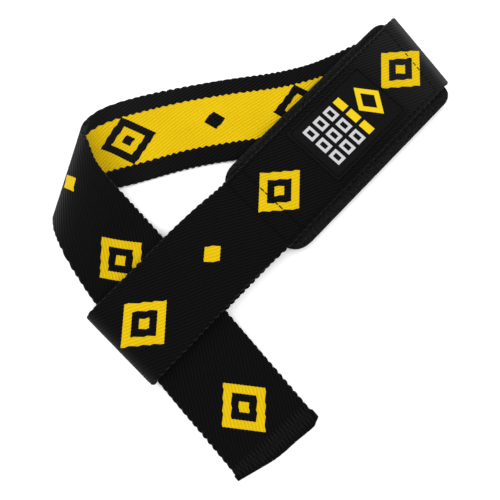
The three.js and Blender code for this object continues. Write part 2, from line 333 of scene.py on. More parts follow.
@dataclass
class StrapRoute:
    """Surface that the laid-out strap follows, from its sewn-down end to its free end."""

    sizes: StrapSizes = field(default_factory=StrapSizes)
    shown: Departures = field(default_factory=Departures)
    fold_steps: int = 8
    dense: int = 60
    probe_along: float = 0.04
    probe_across: float = 0.05

    def __post_init__(self) -> None:
        """Builds both edge curves and the table of distance along the strap."""
        s = self.sizes
        self.along = heading(s.label_heading)
        self.side = heading(s.label_heading + 90)
        self.eye = np.zeros(3)
        self.wrist = self.along * s.label_leg
        self.loop = (self.wrist + heading(s.wrist_heading) * s.wrist_leg
                     + heading(s.wrist_heading - 90) * s.loop_side * s.width)
        lines = CrossLines.joined(self._groups())
        self.count = len(lines.arch)
        self.curves = EdgeCurve(lines.near), EdgeCurve(lines.far)
        self.arches = lines.arch
        self.origin = np.zeros(3)
        self.place = np.linspace(0, self.count - 1, (self.count - 1) * self.dense + 1)
        middle = self.surface(self.place, np.zeros_like(self.place))
        steps = np.linalg.norm(np.diff(middle, axis=0), axis=1)
        self.distance = np.concatenate([[0.0], np.cumsum(steps)])
        self.length = float(self.distance[-1])

    def _groups(self) -> list[CrossLines]:
        """Gives the cross lines of each leg, fold and loop in order."""
        s = self.sizes
        at, aside = np.array(TAB_ROWS).T
        tab = self._lines_on_label_leg(at * s.tab, s.floor_level, 0.0).moved(np.outer(aside, self.side))
        eye = self._fold(self.eye, s.label_heading + 180, s.label_heading + 90, s.eye_height, Turn.UP, 0.0,
                         self.shown.eye_reach).moved(self.shown.eye_aside * self.side)
        at, lift, aside = np.array(LABEL_LEG_ROWS).T
        leg = self._lines_on_label_leg(at * s.label_leg, s.leg_level + lift * (s.eye_height - s.leg_level),
                                       -s.fold_slant * at * at).moved(np.outer(aside * s.width, self.side))
        line = s.label_heading - s.fold_slant
        wrist = self._fold(self.wrist, line, line + 90, s.leg_level, Turn.DOWN, s.fold_slant,
                           self.shown.wrist_reach)
        return [tab, eye, leg, wrist, self._wrist_leg(), self._loop(), self._tail()]

    def _lines_on_label_leg(self, run: np.ndarray, height: Union[float, np.ndarray],
                            slant: Union[float, np.ndarray]) -> CrossLines:
        """Cross lines on the label leg: width over the cosine of the slant, at a distance from the eye."""
        s = self.sizes
        slant = np.broadcast_to(slant, run.shape)
        centre = self.eye + run[:, None] * self.along
        centre[:, 2] = height
        return CrossLines.about(centre, s.label_heading + 90 + slant, s.width / np.cos(np.radians(slant)),
                                np.zeros(len(run)))

    def _fold(self, at: np.ndarray, out: float, line: float, high: float, turn: Turn, slant: float,
              reach: float) -> CrossLines:
        """Half oval fold: out by the radius times reach and sine, up or down by the radius times the cosine.

        Args:
            at: Place of the fold's axis.
            out: Heading in which the fold bulges.
            line: Heading of the near end of the fold's line.
            high: Height of the upper layer.
            turn: Whether the strap goes up or down through the fold.
            slant: Slant of the line against the strap, which drifts along it as it turns.
            reach: Share of the radius by which the fold bulges.

        Returns:
            The fold's cross lines.
        """
        s = self.sizes
        radius = (high - s.floor_level) / 2
        angle = np.linspace(0, np.pi, self.fold_steps + 1)
        centre = (at + np.outer(radius * reach * np.sin(angle), heading(out))
                  + np.outer(radius * math.tan(math.radians(slant)) * angle, heading(line)))
        centre[:, 2] = s.floor_level + radius * (1 - turn.value * np.cos(angle))
        each = np.ones_like(angle)
        return CrossLines.about(centre, each * line, each * s.width / math.cos(math.radians(slant)), 0 * each)

    def _wrist_leg(self) -> CrossLines:
        """Cross lines of the wrist leg, at shares of its length and side shifts of its width."""
        s = self.sizes
        at, side, slant, arch = np.array(WRIST_LEG_ROWS).T
        centre = (self.wrist + np.outer(at * s.wrist_leg, heading(s.wrist_heading))
                  + np.outer(side * s.width, heading(s.wrist_heading - 90)))
        centre[:, 2] = s.floor_level
        return CrossLines.about(centre, s.wrist_heading - 90 + slant, np.full(len(at), s.width),
                                arch * s.wrist_arch)

    def _loop(self) -> CrossLines:
        """Edges of the turned loop, out and down by shares of the width, up by shares of the height."""
        s = self.sizes
        rows = np.array(LOOP_ROWS)

        def edge(columns: np.ndarray) -> np.ndarray:
            """Places one edge from its out, down and rise columns."""
            points = (self.loop + np.outer(columns[:, 0] * s.width, heading(s.loop_line - 90))
                      + np.outer(columns[:, 1] * s.width, heading(s.loop_line)))
            points[:, 2] = s.floor_level + columns[:, 2] * (s.loop_height - s.floor_level)
            return points

        arch = np.zeros(len(rows))
        arch[0] = s.wrist_arch / 2
        return CrossLines(edge(rows[:, :3]), edge(rows[:, 3:]), arch)

    def _tail(self) -> CrossLines:
        """Edges of the tail, at shares of the free tail counted from the middle of the eye."""
        s = self.sizes
        rows = np.array(TAIL_ROWS)
        middle = self.eye + self.along * (s.width / 2 + s.gap - s.tail_ease)

        def edge(shares: np.ndarray, side: int) -> np.ndarray:
            """Places one edge from its shares."""
            points = (middle + np.outer(shares * s.free_tail, heading(s.tail_heading))
                      + heading(s.tail_heading + 90) * side * s.width / 2)
            points[:, 2] = s.floor_level + rows[:, 2] * (s.pass_level - s.floor_level)
            return points

        return CrossLines(edge(rows[:, 0], 1), edge(rows[:, 1], -1), np.zeros(len(rows)))

    def surface(self, place: np.ndarray, across: np.ndarray) -> np.ndarray:
        """Point of the middle surface: between the edge curves, raised by the arch, never below the floor.

        Args:
            place: Place along the strap, counted in cross lines.
            across: From 1 at the near edge to -1 at the far edge, of the same shape.

        Returns:
            Points in millimetres, in the last axis.
        """
        flat_place, flat_across = np.ravel(place), np.ravel(across)[:, None]
        near, far = (curve.at(flat_place) for curve in self.curves)
        points = near * (1 + flat_across) / 2 + far * (1 - flat_across) / 2
        arch = np.interp(flat_place, np.arange(self.count), self.arches)
        points[:, 2] = np.maximum(points[:, 2] + arch * (1 - flat_across[:, 0] ** 2), self.sizes.floor_level)
        return points.reshape(*np.shape(place), 3) - self.origin

    def frames(self, place: np.ndarray, across: np.ndarray) -> tuple[np.ndarray, np.ndarray]:
        """Unit vectors along the strap and square to its face, from small differences about each point."""
        along = unit(self.surface(np.minimum(place + self.probe_along, self.count - 1), across)
                     - self.surface(np.maximum(place - self.probe_along, 0), across))
        toward = unit(self.surface(place, np.minimum(across + self.probe_across, 1.0))
                      - self.surface(place, np.maximum(across - self.probe_across, -1.0)))
        return along, unit(np.cross(along, toward))

    def cloth_run(self, place: np.ndarray, across: np.ndarray) -> np.ndarray:
        """Distance along the weave in millimetres: the middle's distance plus what the slant adds."""
        zero = np.zeros_like(across)
        along, _ = self.frames(place, zero)
        slip = np.sum((self.surface(place, across) - self.surface(place, zero)) * along, axis=-1)
        return np.interp(place, self.place, self.distance) + slip

    def on_leg(self, flat: np.ndarray) -> np.ndarray:
        """Places points given along and across the label leg, counted from the eye, on the floor plane."""
        return flat[..., :1] * self.along + flat[..., 1:] * self.side - self.origin

    def places_for(self, run: np.ndarray) -> np.ndarray:
        """Turns distances along the middle of the strap into places."""
        return np.interp(run, self.distance, self.place)

    def bends(self) -> dict[Bend, float]:
        """Distances along the strap at the middle of each fold, and at the loop."""
        eye = len(TAB_ROWS) + self.fold_steps / 2
        wrist = eye + self.fold_steps + 1 + len(LABEL_LEG_ROWS)
        eye_run, wrist_run = (float(np.interp(place, self.place, self.distance)) for place in (eye, wrist))
        return {Bend.EYE: eye_run, Bend.WRIST: wrist_run, Bend.LOOP: wrist_run + self.sizes.wrist_leg}

    def end_reach(self, run: np.ndarray, across: np.ndarray) -> np.ndarray:
        """Outward reach of the free end: its table across the band, eased in along the last stretch."""
        eased = smooth_step(self.length - self.shown.end_ease, self.length, run)
        return np.interp(across, *np.array(END_EDGE).T) * eased


@dataclass
class GridMesh:
    """Vertices, faces and cloth coordinates gathered as arrays before they become an object."""

    points: np.ndarray
    faces: list[np.ndarray]
    cloth: np.ndarray
    slots: np.ndarray
    extra: dict[str, np.ndarray] = field(default_factory=dict)

    def to_object(self, name: str, materials: Sequence[bpy.types.Material]) -> bpy.types.Object:
        """Makes a Blender object in metres, its place kept in its mesh.

        Args:
            name: Name of the piece.
            materials: Materials, in the order that slots counts them.

        Returns:
            The new object, linked to the scene.
        """
        mesh = bpy.data.meshes.new(name)
        mesh.from_pydata((self.points.reshape(-1, 3) * MM).tolist(), [], [f.tolist() for f in self.faces])
        for material in materials:
            mesh.materials.append(material)
        mesh.polygons.foreach_set("material_index", self.slots.astype(np.int32))
        mesh.polygons.foreach_set("use_smooth", np.ones(len(mesh.polygons), bool))
        corners = np.empty(len(mesh.loops), np.int32)
        mesh.loops.foreach_get("vertex_index", corners)
        layer = mesh.uv_layers.new(name="cloth")
        layer.data.foreach_set("uv", self.cloth.reshape(-1, 2)[corners].astype(np.float32).ravel())
        for key, values in self.extra.items():
            attribute = mesh.attributes.new(key, "FLOAT", "POINT")
            attribute.data.foreach_set("value", values.astype(np.float32).ravel())
        mesh.validate()
        mesh.update()
        return put(name, mesh)


def put(name: str, data: bpy.types.ID) -> bpy.types.Object:
    """Makes an object of a mesh, light or camera, and links it to the scene."""
    thing = bpy.data.objects.new(name, data)
    bpy.context.scene.collection.objects.link(thing)
    return thing


def ring_faces(rows: int, around: int) -> np.ndarray:
    """Quads of a tube of rings: each joins a point, the next around, and both their neighbours along."""
    i, j = np.meshgrid(np.arange(rows - 1), np.arange(around), indexing="ij")
    here, beside = i * around + j, i * around + (j + 1) % around
    return np.stack([here, beside, beside + around, here + around], axis=-1).reshape(-1, 4)


def end_faces(rows: int, around: int) -> tuple[np.ndarray, np.ndarray]:
    """First and last face of a tube of rings, wound so that both look outward."""
    ring = np.arange(around)
    return ring[::-1], ring + (rows - 1) * around


@dataclass(frozen=True)
class Signal:
    """Result of one of a material's nodes, from which arithmetic makes further nodes."""

    sheet: "NodeSheet"
    socket: bpy.types.NodeSocket

    def __add__(self, other: Term) -> "Signal":
        """Adds a signal or a number."""
        return self.sheet.math("ADD", self, other)

    def __sub__(self, other: Term) -> "Signal":
        """Subtracts a signal or a number."""
        return self.sheet.math("SUBTRACT", self, other)

    def __rsub__(self, other: float) -> "Signal":
        """Subtracts it from a number."""
        return self.sheet.math("SUBTRACT", other, self)

    def __mul__(self, other: Term) -> "Signal":
        """Multiplies by a signal or a number."""
        return self.sheet.math("MULTIPLY", self, other)

    def __truediv__(self, other: Term) -> "Signal":
        """Divides by a signal or a number."""
        return self.sheet.math("DIVIDE", self, other)

    def __lt__(self, other: Term) -> "Signal":
        """Gives one where it is less, else zero."""
        return self.sheet.math("LESS_THAN", self, other)

    def __gt__(self, other: Term) -> "Signal":
        """Gives one where it is greater, else zero."""
        return self.sheet.math("GREATER_THAN", self, other)

    def __abs__(self) -> "Signal":
        """Gives its distance from zero."""
        return self.sheet.math("ABSOLUTE", self)

    def or_more(self, other: Term) -> "Signal":
        """Gives the greater of the two."""
        return self.sheet.math("MAXIMUM", self, other)

    def apart(self, repeat: float) -> "Signal":
        """Gives the distance from the nearest multiple of a repeat."""
        return abs(self.sheet.math("WRAP", self, repeat / 2, -repeat / 2))

    def wave(self, period: float) -> "Signal":
        """Gives a cosine that comes round once in each period."""
        return self.sheet.math("COSINE", self * (TURN / period))

    def halved(self) -> "Signal":
        """Moves a wave from between -1 and 1 to between 0 and 1."""
        return self * 0.5 + 0.5


class NodeSheet:
    """Short hand for building a material's nodes."""

    sheen_roughness = 0.45
    specular = 0.012

    def __init__(self, name: str) -> None:
        """Starts an empty material with its shader and output."""
        self.material = bpy.data.materials.new(name)
        self.material.use_nodes = True
        self.tree = self.material.node_tree
        self.tree.nodes.clear()
        self.shader = self.tree.nodes.new("ShaderNodeBsdfPrincipled")
        output = self.tree.nodes.new("ShaderNodeOutputMaterial")
        self.tree.links.new(self.shader.outputs["BSDF"], output.inputs["Surface"])

    def feed(self, target: bpy.types.NodeSocket, source: Union[Term, Colour]) -> None:
        """Links a signal, or sets a plain value."""
        if isinstance(source, Signal):
            self.tree.links.new(source.socket, target)
        elif isinstance(source, tuple):
            target.default_value = (*source, 1.0)
        else:
            target.default_value = source

    def math(self, operation: str, *values: Term) -> Signal:
        """Adds one arithmetic node and gives its result."""
        node = self.tree.nodes.new("ShaderNodeMath")
        node.operation = operation
        for target, value in zip(node.inputs, values):
            self.feed(target, value)
        return Signal(self, node.outputs[0])

    def cloth(self, scale: float = CLOTH_SCALE) -> tuple[Signal, Signal]:
        """Gives both cloth coordinates, multiplied back to millimetres."""
        uv = self.tree.nodes.new("ShaderNodeUVMap")
        uv.uv_map = "cloth"
        split = self.tree.nodes.new("ShaderNodeSeparateXYZ")
        self.tree.links.new(uv.outputs["UV"], split.inputs[0])
        return Signal(self, split.outputs[0]) * scale, Signal(self, split.outputs[1]) * scale

    def noise(self, x: Signal, y: Signal, grain: Grain) -> Signal:
        """Gives smooth noise over two coordinates, about one half."""
        join = self.tree.nodes.new("ShaderNodeCombineXYZ")
        self.feed(join.inputs[0], x)
        self.feed(join.inputs[1], y)
        node = self.tree.nodes.new("ShaderNodeTexNoise")
        node.inputs["Scale"].default_value = grain.scale
        node.inputs["Detail"].default_value = grain.detail
        self.tree.links.new(join.outputs[0], node.inputs["Vector"])
        return Signal(self, node.outputs["Fac"])

    def attribute(self, name: str) -> Signal:
        """Reads a float attribute of the piece."""
        node = self.tree.nodes.new("ShaderNodeAttribute")
        node.attribute_name = name
        return Signal(self, node.outputs["Fac"])

    def mix(self, share: Term, low: Union[Signal, Colour], high: Union[Signal, Colour]) -> Signal:
        """Blends two colours by a share."""
        node = self.tree.nodes.new("ShaderNodeMix")
        node.data_type = "RGBA"
        colour_low, colour_high = (socket for socket in node.inputs[1:] if socket.type == "RGBA")
        self.feed(node.inputs["Factor"], share)
        self.feed(colour_low, low)
        self.feed(colour_high, high)
        return Signal(self, next(socket for socket in node.outputs if socket.type == "RGBA"))

    def bump(self, height: Signal, relief: Relief) -> None:
        """Turns a height into the shader's normal."""
        node = self.tree.nodes.new("ShaderNodeBump")
        node.inputs["Strength"].default_value = relief.strength
        node.inputs["Distance"].default_value = relief.distance
        self.feed(node.inputs["Height"], height)
        self.tree.links.new(node.outputs["Normal"], self.shader.inputs["Normal"])

    def finish(self, colour: Signal, roughness: Term, sheen: float) -> bpy.types.Material:
        """Sets the shader's main inputs and gives the material."""
        self.feed(self.shader.inputs["Base Color"], colour)
        self.feed(self.shader.inputs["Roughness"], roughness)
        self.shader.inputs["Sheen Weight"].default_value = sheen
        self.shader.inputs["Sheen Roughness"].default_value = self.sheen_roughness
        self.shader.inputs["Specular IOR Level"].default_value = self.specular
        return self.material


def lozenge_share(near: Signal, side: Signal, half: Pair) -> Signal:
    """Gives a lozenge's scaled distance, one at its rim: each distance over its half size, added."""
    return near / half[0] + side / half[1]


@dataclass(frozen=True)
class TwillFinish:
    """Twill webbing with woven lozenges: black ground on its face, a yellow band on its back."""

    face: Face
    repeat: float
    first: float
    black: Colour = (0.0004, 0.0004, 0.0005)
    # Black on the rib crests: painted highlight, varied by random fibre tone.
    black_highlight_and_fibre: Colour = (0.0040, 0.0040, 0.0042)
    # Grey toward which the fold-crest bands and the painted sheen lighten the black.
    fold_band_and_sheen_colour: Colour = (0.030, 0.030, 0.031)
    # Yellow of the rib valleys, a painted shade, and of random deeper patches.
    yellow: Colour = (0.59, 0.41, 0.003)
    yellow_deep: Colour = (0.42, 0.26, 0.001)
    rib_run: float = 2.96
    rib_angle: float = 26.0
    rib_height: float = 0.8
    thread_run: float = 0.74
    thread_shift: float = 2.1
    thread_height: float = 0.22
    wander: Grain = Grain(0.11, 1.0)
    wander_reach: float = 0.9
    lozenge_half: Pair = (12.4, 11.0)
    lozenge_stroke: float = 0.4
    lozenge_heart: float = 0.24
    seed_half: Pair = (4.8, 4.2)
    band_half: float = 11.0
    band_step: float = 0.65
    figure_step: float = 0.35
    figure_height: float = 0.35
    patches: Grain = Grain(0.05, 3.0)
    fibres: Grain = Grain(2.2, 2.0)
    least_rib_highlight: float = 0.25
    highlight_and_fibre_gain: float = 2.2
    fold_band_and_sheen_gain: float = 1.6
    rib_shade: float = 0.6
    patch_tone: float = 0.55
    roughness: float = 0.72
    fibre_roughness: float = 0.2
    sheen: float = 0.085
    relief: Relief = Relief(0.00028, 0.9)

    def build(self) -> bpy.types.Material:
        """Makes the material: ribs as waves along a slanted phase, figures as sums of scaled distances.

        Returns:
            The material for this side of the webbing.
        """
        sheet = NodeSheet(f"webbing_{self.face.value}")
        run, across = sheet.cloth()
        along, over = math.sin(math.radians(self.rib_angle)), math.cos(math.radians(self.rib_angle))
        pitch = self.rib_run * along
        wander = sheet.noise(run, across, self.wander) * self.wander_reach
        phase = (wander + (run * along + across * over)) / pitch
        saw = sheet.math("FRACT", phase) - 0.5
        rib = phase.wave(1.0).halved()
        turns = run * (TURN / self.thread_run) + sheet.math("FLOOR", phase) * self.thread_shift
        thread = turns.wave(TURN).halved()

        def stepped(value: Signal, reach: float) -> Signal:
            """Shifts a coordinate within each rib, so that edges step from rib to rib."""
            return value - saw * (reach * pitch)

        figure = self._figure(stepped(run, self.figure_step * along),
                              stepped(across, self.figure_step * over))
        if self.face is Face.BACK:
            figure = (abs(stepped(across, self.band_step * over)) < self.band_half) * (1.0 - figure)
        fibre = sheet.noise(run, across, self.fibres)
        # Painted highlight: the black lightens on rib crests and thread floats, scaled by random fibre tone.
        lit = (rib * thread + self.least_rib_highlight) * (fibre * self.highlight_and_fibre_gain)
        black = sheet.mix(lit, self.black, self.black_highlight_and_fibre)
        # Lightens the black by the fold-crest bands and painted sheen, broken by fibre noise.
        black = sheet.mix(sheet.attribute("fold_band_and_sheen") * (fibre * self.fold_band_and_sheen_gain), black, self.fold_band_and_sheen_colour)
        # Painted shade: the yellow darkens in the rib valleys, and also in random patches of deeper tone.
        rib_shade_and_patches = rib * self.rib_shade + sheet.noise(run, across, self.patches) * self.patch_tone
        yellow = sheet.mix(rib_shade_and_patches, self.yellow_deep, self.yellow)
        fine = thread * self.thread_height + figure * self.figure_height
        sheet.bump(rib * self.rib_height + fine, self.relief)
        rough = fibre * self.fibre_roughness + self.roughness
        return sheet.finish(sheet.mix(figure, black, yellow), rough, self.sheen)

    def _figure(self, run: Signal, across: Signal) -> Signal:
        """Marks lozenge rings, hearts and the seeds between them with one, by their scaled distances."""
        side = abs(across)
        near = (run - self.first).apart(self.repeat)
        ring = lozenge_share(near, side, self.lozenge_half)
        stroke = (ring < 1.0) * (ring > 1.0 - self.lozenge_stroke)
        seed = lozenge_share(self.repeat / 2 - near, side, self.seed_half) < 1.0
        return stroke.or_more(ring < self.lozenge_heart).or_more(seed)


@dataclass(frozen=True)
class PadFinish:
    """Dull knitted cloth over foam."""

    colour: Colour = (0.0022, 0.0022, 0.0023)
    ridge: Colour = (0.0108, 0.0108, 0.0110)
    knit_run: float = 0.9
    knit_height: float = 0.35
    fuzz: Grain = Grain(1.0, 4.0)
    fuzz_gain: float = 2.6
    fuzz_floor: float = 0.8
    roughness: float = 0.85
    sheen: float = 0.02
    relief: Relief = Relief(0.00022, 0.8)

    def build(self) -> bpy.types.Material:
        """Makes the material: fine knit columns by two crossed waves, broken by noise."""
        sheet = NodeSheet("pad_knit")
        run, across = sheet.cloth()
        knit = run.wave(self.knit_run) * across.wave(self.knit_run)
        fuzz = sheet.noise(run, across, self.fuzz) * self.fuzz_gain - self.fuzz_floor
        sheet.bump(knit * self.knit_height + fuzz, self.relief)
        return sheet.finish(sheet.mix(fuzz, self.colour, self.ridge), self.roughness, self.sheen)


@dataclass(frozen=True)
class LabelFinish:
    """Fine woven patch: black ground, pale block rows, a yellow block row and a yellow lozenge."""

    ground: Colour = (0.0018, 0.0018, 0.0019)
    ground_ridge: Colour = (0.0075, 0.0075, 0.0077)
    pale: Colour = (0.40, 0.40, 0.41)
    yellow: Colour = (0.56, 0.40, 0.008)
    pale_rows: tuple[float, ...] = (-14.6, -8.4, -2.2)
    pale_half: float = 2.2
    block_repeat: float = 7.4
    block_half: float = 2.9
    block_hollow: Pair = (0.46, 0.55)
    row_reach: float = 11.1
    yellow_row: float = 3.8
    yellow_half: float = 1.76
    lozenge_at: float = 13.4
    lozenge_half: Pair = (6.2, 8.6)
    lozenge_hollow: float = 0.56
    weft_run: float = 0.42
    warp_run: float = 0.55
    weave_height: float = 0.25
    grain: Grain = Grain(1.3, 3.0)
    roughness: float = 0.7
    sheen: float = 0.02
    relief: Relief = Relief(0.00012, 0.7)

    def build(self) -> bpy.types.Material:
        """Makes the material: rows are bands of run, cut to blocks by the distance from each repeat across.

        Returns:
            The label's material.
        """
        sheet = NodeSheet("label_weave")
        run, across = sheet.cloth()
        side = abs(across)
        within = across.apart(self.block_repeat) / self.block_half
        reach = side < self.row_reach
        pale: Term = 0.0
        for centre in self.pale_rows:
            row = abs(run - centre) / self.pale_half
            wall = (row > self.block_hollow[0]).or_more(within > self.block_hollow[1])
            pale = ((row.or_more(within) < 1.0) * wall).or_more(pale)
        pale = pale * reach
        bar = (within < 1.0) * reach * (abs(run - self.yellow_row) < self.yellow_half)
        ring = lozenge_share(abs(run - self.lozenge_at), side, self.lozenge_half)
        yellow = bar.or_more((ring < 1.0) * (ring > self.lozenge_hollow))
        weave = run.wave(self.weft_run) * across.wave(self.warp_run)
        ground = sheet.mix(sheet.noise(run, across, self.grain), self.ground, self.ground_ridge)
        sheet.bump(weave * self.weave_height + pale.or_more(yellow), self.relief)
        colour = sheet.mix(yellow, sheet.mix(pale, ground, self.pale), self.yellow)
        return sheet.finish(colour, self.roughness, self.sheen)


@dataclass(frozen=True)
class ThreadFinish:
    """Dark polyester sewing thread."""

    name: str = "sewing_thread"
    colour: Colour = (0.0018, 0.0018, 0.0018)
    # Colour on the ply crests, a painted highlight.
    ridge: Colour = (0.0055, 0.0055, 0.0055)
    plies: float = 18.0
    roughness: float = 0.5
    relief: Relief = Relief(0.00005, 0.6)

    def build(self) -> bpy.types.Material:
        """Makes the material, with fine twisted plies as slanted waves."""
        sheet = NodeSheet(self.name)
        run, around = sheet.cloth(1.0)
        ply = (run * self.plies + around * TURN).wave(TURN)
        sheet.bump(ply, self.relief)
        # Painted highlight: the thread lightens on the crests of its plies.
        return sheet.finish(sheet.mix(ply.halved(), self.colour, self.ridge), self.roughness, 0.0)


@dataclass
class Webbing:
    """The strap's one woven band, with rounded scalloped selvedges."""

    route: StrapRoute
    row_step: float = 0.5
    flat_columns: int = 20
    edge_round: float = 0.85
    edge_band: Pair = (1.9, 0.5)
    scallop: float = 0.68
    draw_in: float = 0.18
    bead_lag: float = 0.12
    bead_power: float = 0.8
    bead_middle: float = 0.62
    bead_size: Pair = (0.75, 0.35)
    bead_swell: float = 0.12
    scatter: Pair = (12.9898, 3.0)
    frame_reach: float = 0.97
    end_ear: float = 0.5
    end_seal: Pair = (3.7, 2.9)
    figures_apart: int = 4
    figure_clearances: Pair = (3.5, 8.5)

    def profile(self) -> tuple[np.ndarray, np.ndarray, np.ndarray]:
        """Closed outline across the band: two flat sides joined by half ellipses.

        Returns:
            Distance across, height from the middle surface, and which side each point belongs to.
        """
        half, thick = self.route.sizes.width / 2, self.route.sizes.thick / 2
        inner = half - self.edge_round
        flat = inner * np.sin(np.linspace(0.5, -0.5, self.flat_columns) * np.pi)
        turn = np.radians([67.5, 45.0, 22.5, 0.0, -22.5, -45.0, -67.5])
        bulge, rise = self.edge_round * np.cos(turn), thick * np.sin(turn)
        level = np.full(len(flat), thick)
        across = np.concatenate([flat, -inner - bulge, -flat, inner + bulge])
        height = np.concatenate([level, rise, -level, -rise])
        side = np.concatenate([0 * flat, 0 * turn, np.ones(len(flat)), 0 * turn])
        return across, height, side

    def finishes(self) -> list[bpy.types.Material]:
        """Places the figures so that one ends clear of the wrist fold and one near the free end."""
        half = TwillFinish.lozenge_half[0]
        last_on_leg = self.route.bends()[Bend.WRIST] - half - self.figure_clearances[0]
        repeat = (self.route.length - self.figure_clearances[1] - half - last_on_leg) / self.figures_apart
        log.info("figures at %.1f mm, every %.1f mm", last_on_leg, repeat)
        return [TwillFinish(face, repeat, last_on_leg).build() for face in Face]

    def beads(self, weave: np.ndarray, width: np.ndarray) -> np.ndarray:
        """Beads of the selvedges, one for each rib: a rounded cosine of the rib count, uneven in size."""
        way = np.sign(width)
        count = weave / TwillFinish.rib_run + self.bead_lag * way
        size, spread = self.bead_size
        uneven = size + spread * np.sin(self.scatter[0] * np.floor(count) + self.scatter[1] * way)
        return (np.abs(np.cos(np.pi * (count - 0.5))) ** self.bead_power - self.bead_middle) * uneven

    def build(self) -> bpy.types.Object:
        """Sweeps the outline along the route: middle point plus height times the face's direction.

        Returns:
            The webbing's object.
        """
        route, half = self.route, self.route.sizes.width / 2
        across, height, side = self.profile()
        run = np.linspace(0, route.length, int(route.length / self.row_step) + 1)
        place, width = np.meshgrid(route.places_for(run), across, indexing="ij")
        edge = smooth_step(half - self.edge_band[0], half - self.edge_band[1], np.abs(width))
        weave = route.cloth_run(place, np.clip(width / half, -1, 1))
        bead = self.beads(weave, width)
        seal = smooth_step(*(route.length - back for back in self.end_seal), run)[:, None]
        ripple = self.scallop * bead - self.draw_in
        grown = width + np.sign(width) * edge * (ripple + (self.end_ear - ripple) * seal)
        along, square = route.frames(place, np.clip(width / half, -self.frame_reach, self.frame_reach))
        points = (route.surface(place, grown / half)
                  + square * (height[None, :] * (1 + self.bead_swell * edge * bead))[..., None]
                  + along * route.end_reach(run[:, None], width / half)[..., None])
        points[..., 2] = np.maximum(points[..., 2], 0.0)
        shape = len(run), len(across)
        grid = GridMesh(points, [*ring_faces(*shape), *end_faces(*shape)],
                        np.stack([weave, width], axis=-1) / CLOTH_SCALE,
                        np.concatenate([np.tile(side, len(run) - 1), [0, 0]]),
                        {"fold_band_and_sheen": self._fold_band_and_sheen(np.interp(place, route.place, route.distance))})
        piece = grid.to_object("webbing_cloth", self.finishes())
        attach(piece, "root")
        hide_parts("webbing")
        return piece

    def _fold_band_and_sheen(self, run: np.ndarray) -> np.ndarray:
        """Lightened share of the cloth, fold-crest bands and painted sheen: for each mark its strength times
        e to minus the distance share squared.
        """
        bends = self.route.bends()
        return sum(mark.strength * np.exp(-((run - bends[mark.bend] - mark.shift) / mark.spread) ** 2)
                   for mark in FOLD_BAND_AND_SHEEN_MARKS)


@dataclass
class PatchShape:
    """Rounded flat patch lying along the label leg, in millimetres."""

    start: float
    stop: float
    width: float
    corner: Corners
    start_slant: float = 0.0
    stop_slant: float = 0.0
    aside: float = 0.0
    samples: int = 24

    def outline(self) -> tuple[np.ndarray, np.ndarray]:
        """Outline and its inward directions: straight sides joined by quadratic corner curves.

        Returns:
            Points and unit inward directions, both in leg coordinates.
        """
        lean = [self.width / 2 * math.tan(math.radians(a)) for a in (self.start_slant, self.stop_slant)]
        half = self.width / 2
        corners = np.array([[self.start - lean[0], -half], [self.stop - lean[1], -half],
                            [self.stop + lean[1], half], [self.start + lean[0], half]])
        cut = np.array(self.corner)[:, None]
        before = corners + cut * unit(np.roll(corners, 1, axis=0) - corners)
        after = corners + cut * unit(np.roll(corners, -1, axis=0) - corners)
        share = np.linspace(0, 1, self.samples)[None, :, None]
        arcs = ((1 - share) ** 2 * before[:, None] + 2 * share * (1 - share) * corners[:, None]
                + share ** 2 * after[:, None])
        sides = share[:, 1:-1]
        straights = after[:, None] * (1 - sides) + np.roll(before, -1, axis=0)[:, None] * sides
        points = np.concatenate([arcs, straights], axis=1).reshape(-1, 2) + (0.0, self.aside)
        tangent = unit(np.roll(points, -1, axis=0) - np.roll(points, 1, axis=0))
        return points, np.stack([-tangent[:, 1], tangent[:, 0]], axis=-1)


@dataclass
class SoftPatch:
    """Piece of even thickness with rounded edges, made of rings that step in from its outline."""

    route: StrapRoute
    shape: PatchShape
    bottom: float
    thick: float
    rounding: float
    steps: tuple[float, ...]

    def swell(self, flat: np.ndarray) -> np.ndarray:
        """Extra height of the upper side over each point, none by default."""
        return np.zeros(flat.shape[:-1])

    def grid(self) -> GridMesh:
        """Rings from the lower middle round the edge to the upper middle.

        The edge is a quarter ellipse: half thickness times the root of 1 less the square of the share left.

        Returns:
            The patch as arrays.
        """
        outline, inward = self.shape.outline()
        inset = np.array(self.steps)
        share = np.clip(1 - inset / self.rounding, 0, 1)
        half = self.thick / 2
        rise = half * np.sqrt(1 - share ** 2)
        insets = np.concatenate([inset[::-1], inset[1:]])
        signs = np.concatenate([-rise[::-1], rise[1:]])
        flat = outline[None] + inward[None] * insets[:, None, None]
        points = self.route.on_leg(flat)
        points[..., 2] = (self.bottom + half + signs[:, None]
                          + self.swell(flat) * (signs / half)[:, None].clip(0, 1))
        shape = len(insets), len(outline)
        faces = [*ring_faces(*shape), *end_faces(*shape)]
        centre = np.array([(self.shape.start + self.shape.stop) / 2, 0.0])
        return GridMesh(points, faces, (flat - centre) / CLOTH_SCALE, np.zeros(len(faces)))


@dataclass
class WristPad(SoftPatch):
    """Foam pad under the label leg, swelling where it stands out beside the webbing."""

    rounding: float = 1.7
    steps: tuple[float, ...] = (0.0, 0.05, 0.2, 0.45, 0.8, 1.2, 1.7, 2.3, 3.0, 4.2)
    border_swell: float = 0.3
    border: Pair = (19.5, 20.9)
    waves: tuple[Place, ...] = ((0.18, 0.35, 0.0), (0.1, 0.93, 1.3))

    def swell(self, flat: np.ndarray) -> np.ndarray:
        """Rise beside the webbing: a step outward from its edge, softened by slow waves along the pad."""
        waves = 1 + sum(depth * np.sin(flat[..., 0] * rate + phase) for depth, rate, phase in self.waves)
        return self.border_swell * waves * smooth_step(*self.border, np.abs(flat[..., 1]))

    def build(self) -> bpy.types.Object:
        piece = self.grid().to_object("wrist_pad_knit", [PadFinish().build()])
        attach(piece, "root")
        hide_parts("wrist_pad")
        return piece


